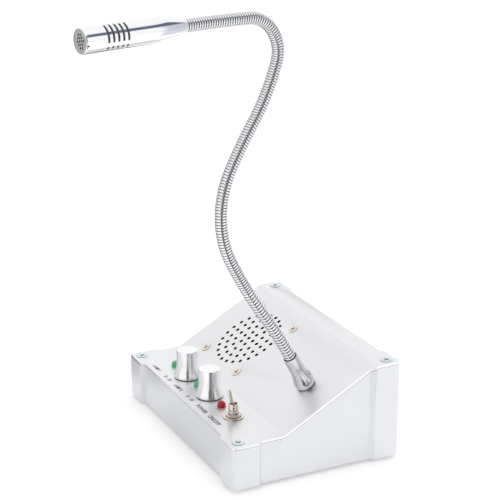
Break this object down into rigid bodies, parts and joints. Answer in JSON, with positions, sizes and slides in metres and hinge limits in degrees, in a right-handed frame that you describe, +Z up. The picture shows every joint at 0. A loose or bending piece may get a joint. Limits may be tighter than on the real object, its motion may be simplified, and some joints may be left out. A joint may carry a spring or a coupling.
{
  "type": "counter intercom",
  "caption": "Wedge-shaped counter intercom with a loudspeaker grille, volume knobs, lamps, a toggle switch and a microphone on a ribbed flexible neck.",
  "frame": {"origin": "on the counter, under the centre of the unit's plan", "axes": "+X to the right along the front, -Y towards the user (the knob row is at -Y), +Z up"},
  "size_m": [0.15, 0.176, 0.259],
  "materials": {
    "housing_silver": "fine silver lacquer, satin",
    "panel_aluminium": "brushed across, clear satin",
    "base_steel": "zinc plated, dull",
    "feet_rubber": "matte",
    "screw_zinc": "zinc plated",
    "screw_nickel": "nickel plated",
    "cloth_black": "plain weave, matte",
    "speaker_steel": "zinc plated",
    "magnet_ferrite": "dark grey, dull",
    "cone_paper": "pressed paper pulp",
    "coil_copper": "enamelled copper wire",
    "board_green": "glass-epoxy with solder mask",
    "spacer_brass": "turned",
    "chip_black": "moulded epoxy",
    "sink_aluminium": "extruded, plain",
    "capacitor_sleeve": "shrunk sleeve",
    "pot_metal": "pressed can, die-cast bushing",
    "knob_aluminium": "turned, satin anodised, bright top",
    "shaft_steel": "ground",
    "grub_steel": "blackened",
    "lamp_green": "milky green lens",
    "lamp_red": "clear red lens",
    "leg_tinned": "tinned wire",
    "switch_case_blue": "moulded",
    "switch_nickel": "nickel plated",
    "lever_nickel": "bright nickel plate",
    "socket_black": "moulded",
    "collar_chrome": "bright plate",
    "neck_chrome": "bright plate, ribbed",
    "mic_satin": "satin nickel plate",
    "cap_grey": "grey, perforated",
    "capsule_metal": "pressed can",
    "holder_rubber": "matte",
    "sleeve_dark": "dark damping cloth"
  },
  "bodies": {
    "unit": {"housing": "housing_silver", "top_panel": "panel_aluminium", "base_plate": "base_steel", "rubber_feet": "feet_rubber", "panel_screws": "screw_zinc", "base_screws": "screw_zinc", "grille_cloth": "cloth_black", "speaker_frame": "speaker_steel", "speaker_front_plate": "speaker_steel", "speaker_magnet": "magnet_ferrite", "speaker_yoke": "speaker_steel", "speaker_cone": "cone_paper", "voice_coil": "coil_copper", "speaker_screws": "screw_nickel", "speaker_nuts": "screw_nickel", "control_board": "board_green", "main_board": "board_green", "board_spacers": "spacer_brass", "amplifier_chip": "chip_black", "heat_sink": "sink_aluminium", "capacitors": "capacitor_sleeve", "volume_pots": "pot_metal", "pot_washers": "screw_nickel", "pot_nuts": "screw_nickel", "green_lamps": "lamp_green", "red_lamp": "lamp_red", "lamp_legs": "leg_tinned", "switch_case": "switch_case_blue", "switch_bushing": "switch_nickel", "switch_washer": "switch_nickel", "switch_nut": "switch_nickel", "power_socket": "socket_black", "jack_sockets": "socket_black", "jack_nuts": "switch_nickel", "neck_collar": "collar_chrome", "collar_nut": "screw_zinc", "collar_screw": "grub_steel", "neck_section_1": "neck_chrome"},
    "left_knob": {"left_knob": "knob_aluminium", "left_shaft": "shaft_steel", "left_knob_screw": "grub_steel"},
    "right_knob": {"right_knob": "knob_aluminium", "right_shaft": "shaft_steel", "right_knob_screw": "grub_steel"},
    "lever": {"toggle_lever": "lever_nickel"},
    "neck_2": {"neck_section_2": "neck_chrome"},
    "neck_3": {"neck_section_3": "neck_chrome"},
    "neck_4": {"neck_section_4": "neck_chrome"},
    "neck_5": {"neck_section_5": "neck_chrome"},
    "neck_6": {"neck_section_6": "neck_chrome"},
    "neck_7": {"neck_section_7": "neck_chrome"},
    "microphone": {"neck_section_8": "neck_chrome", "mic_housing": "mic_satin", "mic_cap": "cap_grey", "mic_screw": "grub_steel", "mic_capsule": "capsule_metal", "mic_holder": "holder_rubber", "mic_sleeve": "sleeve_dark"}
  },
  "joints": [
    {"name": "left_volume", "type": "hinge", "parent": "unit", "child": "left_knob", "pos_m": [-0.0266, -0.0345, 0.028], "axis": [0, 0, 1], "range_deg": [-150, 150]},
    {"name": "right_volume", "type": "hinge", "parent": "unit", "child": "right_knob", "pos_m": [0.0054, -0.0345, 0.028], "axis": [0, 0, 1], "range_deg": [-150, 150]},
    {"name": "switch_throw", "type": "hinge", "parent": "unit", "child": "lever", "pos_m": [0.0376, -0.0345, 0.033], "axis": [-1, 0, 0], "range_deg": [0, 25]},
    {"name": "neck_bend_1", "type": "hinge", "parent": "unit", "child": "neck_2", "pos_m": [0.04648, -0.01909, 0.08883], "axis": [0.977, 0.1868, 0.1024], "range_deg": [-18, 18]},
    {"name": "neck_bend_2", "type": "hinge", "parent": "neck_2", "child": "neck_3", "pos_m": [0.04672, -0.0398, 0.12428], "axis": [-0.2128, 0.88, 0.4248], "range_deg": [-18, 18]},
    {"name": "neck_bend_3", "type": "hinge", "parent": "neck_3", "child": "neck_4", "pos_m": [0.04492, -0.04475, 0.15053], "axis": [0.977, 0.1868, 0.1024], "range_deg": [-18, 18]},
    {"name": "neck_bend_4", "type": "hinge", "parent": "neck_4", "child": "neck_5", "pos_m": [0.0411, -0.03735, 0.17344], "axis": [-0.1046, 0.8394, -0.5333], "range_deg": [-18, 18]},
    {"name": "neck_bend_5", "type": "hinge", "parent": "neck_5", "child": "neck_6", "pos_m": [0.03565, -0.02144, 0.19643], "axis": [0.977, 0.1868, 0.1024], "range_deg": [-18, 18]},
    {"name": "neck_bend_6", "type": "hinge", "parent": "neck_6", "child": "neck_7", "pos_m": [0.029, -0.00368, 0.22747], "axis": [-0.1344, 0.9134, -0.3842], "range_deg": [-18, 18]},
    {"name": "neck_bend_7", "type": "hinge", "parent": "neck_7", "child": "microphone", "pos_m": [0.02953, -0.02018, 0.25252], "axis": [0.977, 0.1868, 0.1024], "range_deg": [-18, 18]}
  ]
}
